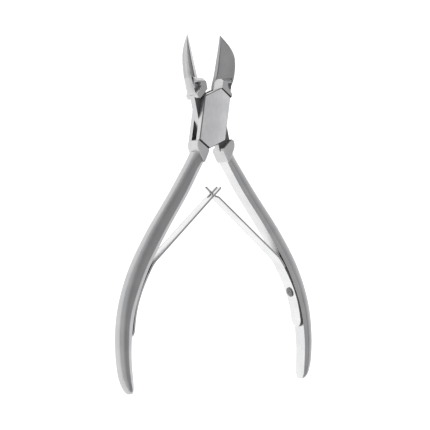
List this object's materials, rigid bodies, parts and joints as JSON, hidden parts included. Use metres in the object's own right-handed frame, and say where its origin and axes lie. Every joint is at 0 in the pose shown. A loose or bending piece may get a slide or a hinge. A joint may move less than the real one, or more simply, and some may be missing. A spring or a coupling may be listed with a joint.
{
  "type": "nail nippers",
  "caption": "Hand nippers with a pass-through box joint, short hollow-ground cutting jaws, bowed handles and a double leaf spring that meets in a fork and tongue.",
  "frame": {"origin": "on the hinge axis, in the plane of the rear cheek that the tool lies on", "axes": "+Z out of the front cheek, along the hinge axis; +Y towards the jaws; +X towards the jaw of the box half"},
  "size_m": [0.09, 0.14, 0.0095],
  "materials": {
    "satin_steel": "satin brushed stainless steel",
    "pin_steel": "ground flush stainless steel",
    "spring_steel": "bright polished spring steel",
    "screw_steel": "satin turned steel"
  },
  "bodies": {
    "box_side": {"box_half": "satin_steel", "pivot_pin": "pin_steel", "left_spring_root": "spring_steel", "left_spring_screw": "screw_steel"},
    "tongue_side": {"tongue_half": "satin_steel", "right_spring_root": "spring_steel", "right_spring_screw": "screw_steel"},
    "left_leaf": {"left_spring_blade": "spring_steel"},
    "right_leaf": {"right_spring_blade": "spring_steel"}
  },
  "joints": [
    {"name": "main_hinge", "type": "hinge", "parent": "box_side", "child": "tongue_side", "pos_m": [0, 0, 0.00475], "axis": [0, 0, -1], "range_deg": [0, 24.6], "stiffness_Nm_per_rad": 1, "springref_deg": -20.05},
    {"name": "left_leaf_flex", "type": "hinge", "parent": "box_side", "child": "left_leaf", "pos_m": [-0.03044, -0.05721, 0.00475], "axis": [0, 0, 1], "range_deg": [0, 10.5]},
    {"name": "right_leaf_flex", "type": "hinge", "parent": "tongue_side", "child": "right_leaf", "pos_m": [0.03044, -0.05721, 0.00475], "axis": [0, 0, -1], "range_deg": [0, 10.5]}
  ],
  "couplings": [
    {"joint": "left_leaf_flex", "follows": "main_hinge", "ratio": 0.4228},
    {"joint": "right_leaf_flex", "follows": "main_hinge", "ratio": 0.4228}
  ]
}
